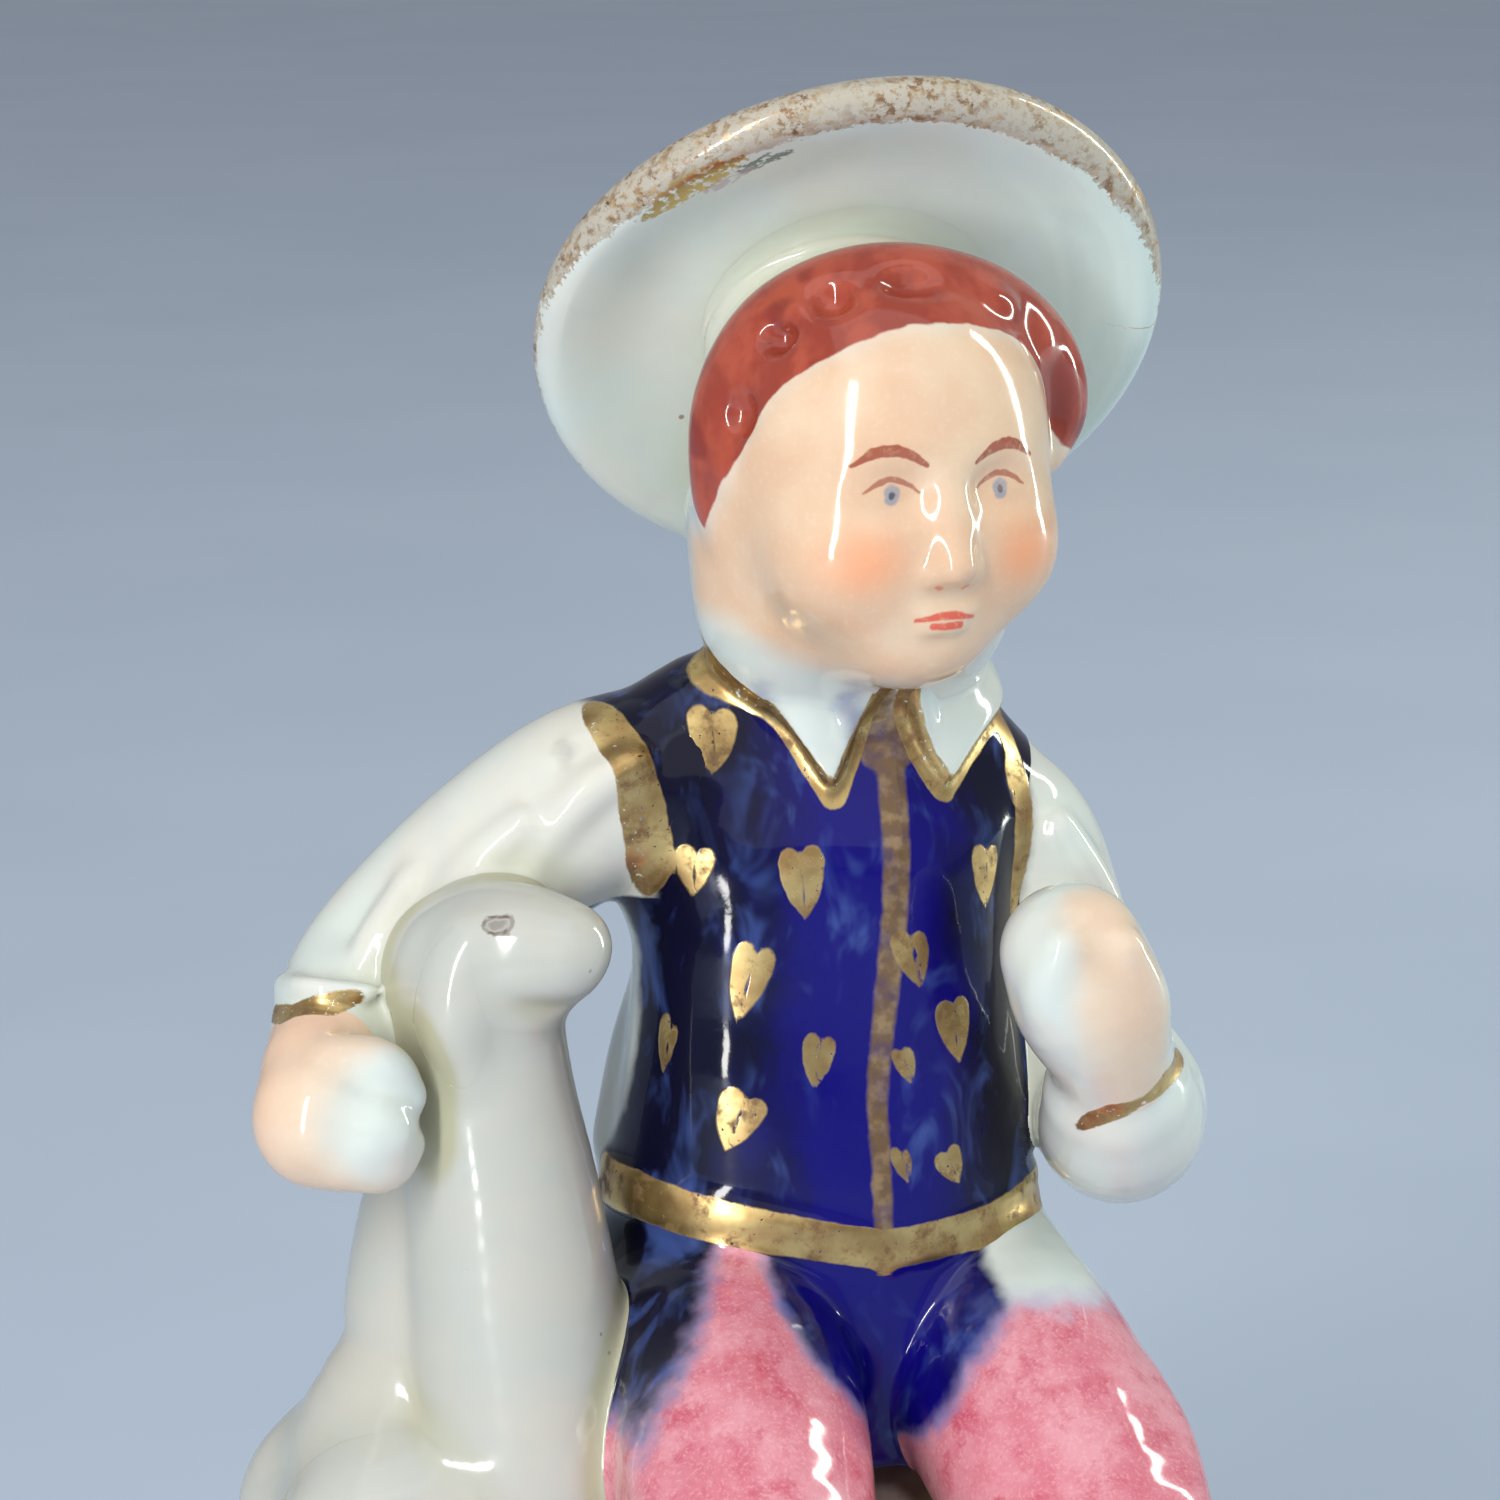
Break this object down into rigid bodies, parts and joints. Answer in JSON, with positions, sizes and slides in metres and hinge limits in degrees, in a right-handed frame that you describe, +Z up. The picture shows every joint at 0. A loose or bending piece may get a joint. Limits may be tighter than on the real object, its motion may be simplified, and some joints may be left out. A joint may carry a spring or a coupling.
{
  "type": "porcelain figurine",
  "caption": "Glazed porcelain figurine of a seated boy in a wide hat with one arm round a sitting dog, on an oval rocky mound with a flat foot ring and a vented floor.",
  "frame": {"origin": "middle of the oval foot ring, on the surface that the figurine stands on", "axes": "+Z up, the boy faces -Y, +X is his left and the viewer's right"},
  "size_m": [0.06, 0.044, 0.1089],
  "materials": {
    "glaze": "gloss",
    "cobalt": "gloss",
    "rose": "gloss",
    "flesh": "gloss",
    "shoe_black": "gloss",
    "rock_brown": "gloss",
    "moss_green": "gloss",
    "bisque": "matte"
  },
  "bodies": {
    "root": {"rock_base": "rock_brown", "floor_plate": "bisque", "rock_knob": "rock_brown", "moss_tufts": "moss_green", "torso": "cobalt", "coat_skirt": "cobalt", "collar_right": "glaze", "collar_left": "glaze", "head": "flesh", "hat_brim": "glaze", "hat_crown": "glaze", "right_sleeve": "glaze", "right_hand": "flesh", "left_sleeve": "glaze", "left_hand": "flesh", "right_breeches": "rose", "left_breeches": "rose", "right_calf": "glaze", "left_calf": "glaze", "right_shoe": "shoe_black", "left_shoe": "shoe_black", "dog_body": "glaze", "dog_head": "glaze", "dog_right_ear": "glaze", "dog_left_ear": "glaze", "dog_right_foreleg": "glaze", "dog_left_foreleg": "glaze", "dog_right_haunch": "glaze", "dog_left_haunch": "glaze", "dog_tail": "glaze"}
  },
  "joints": []
}
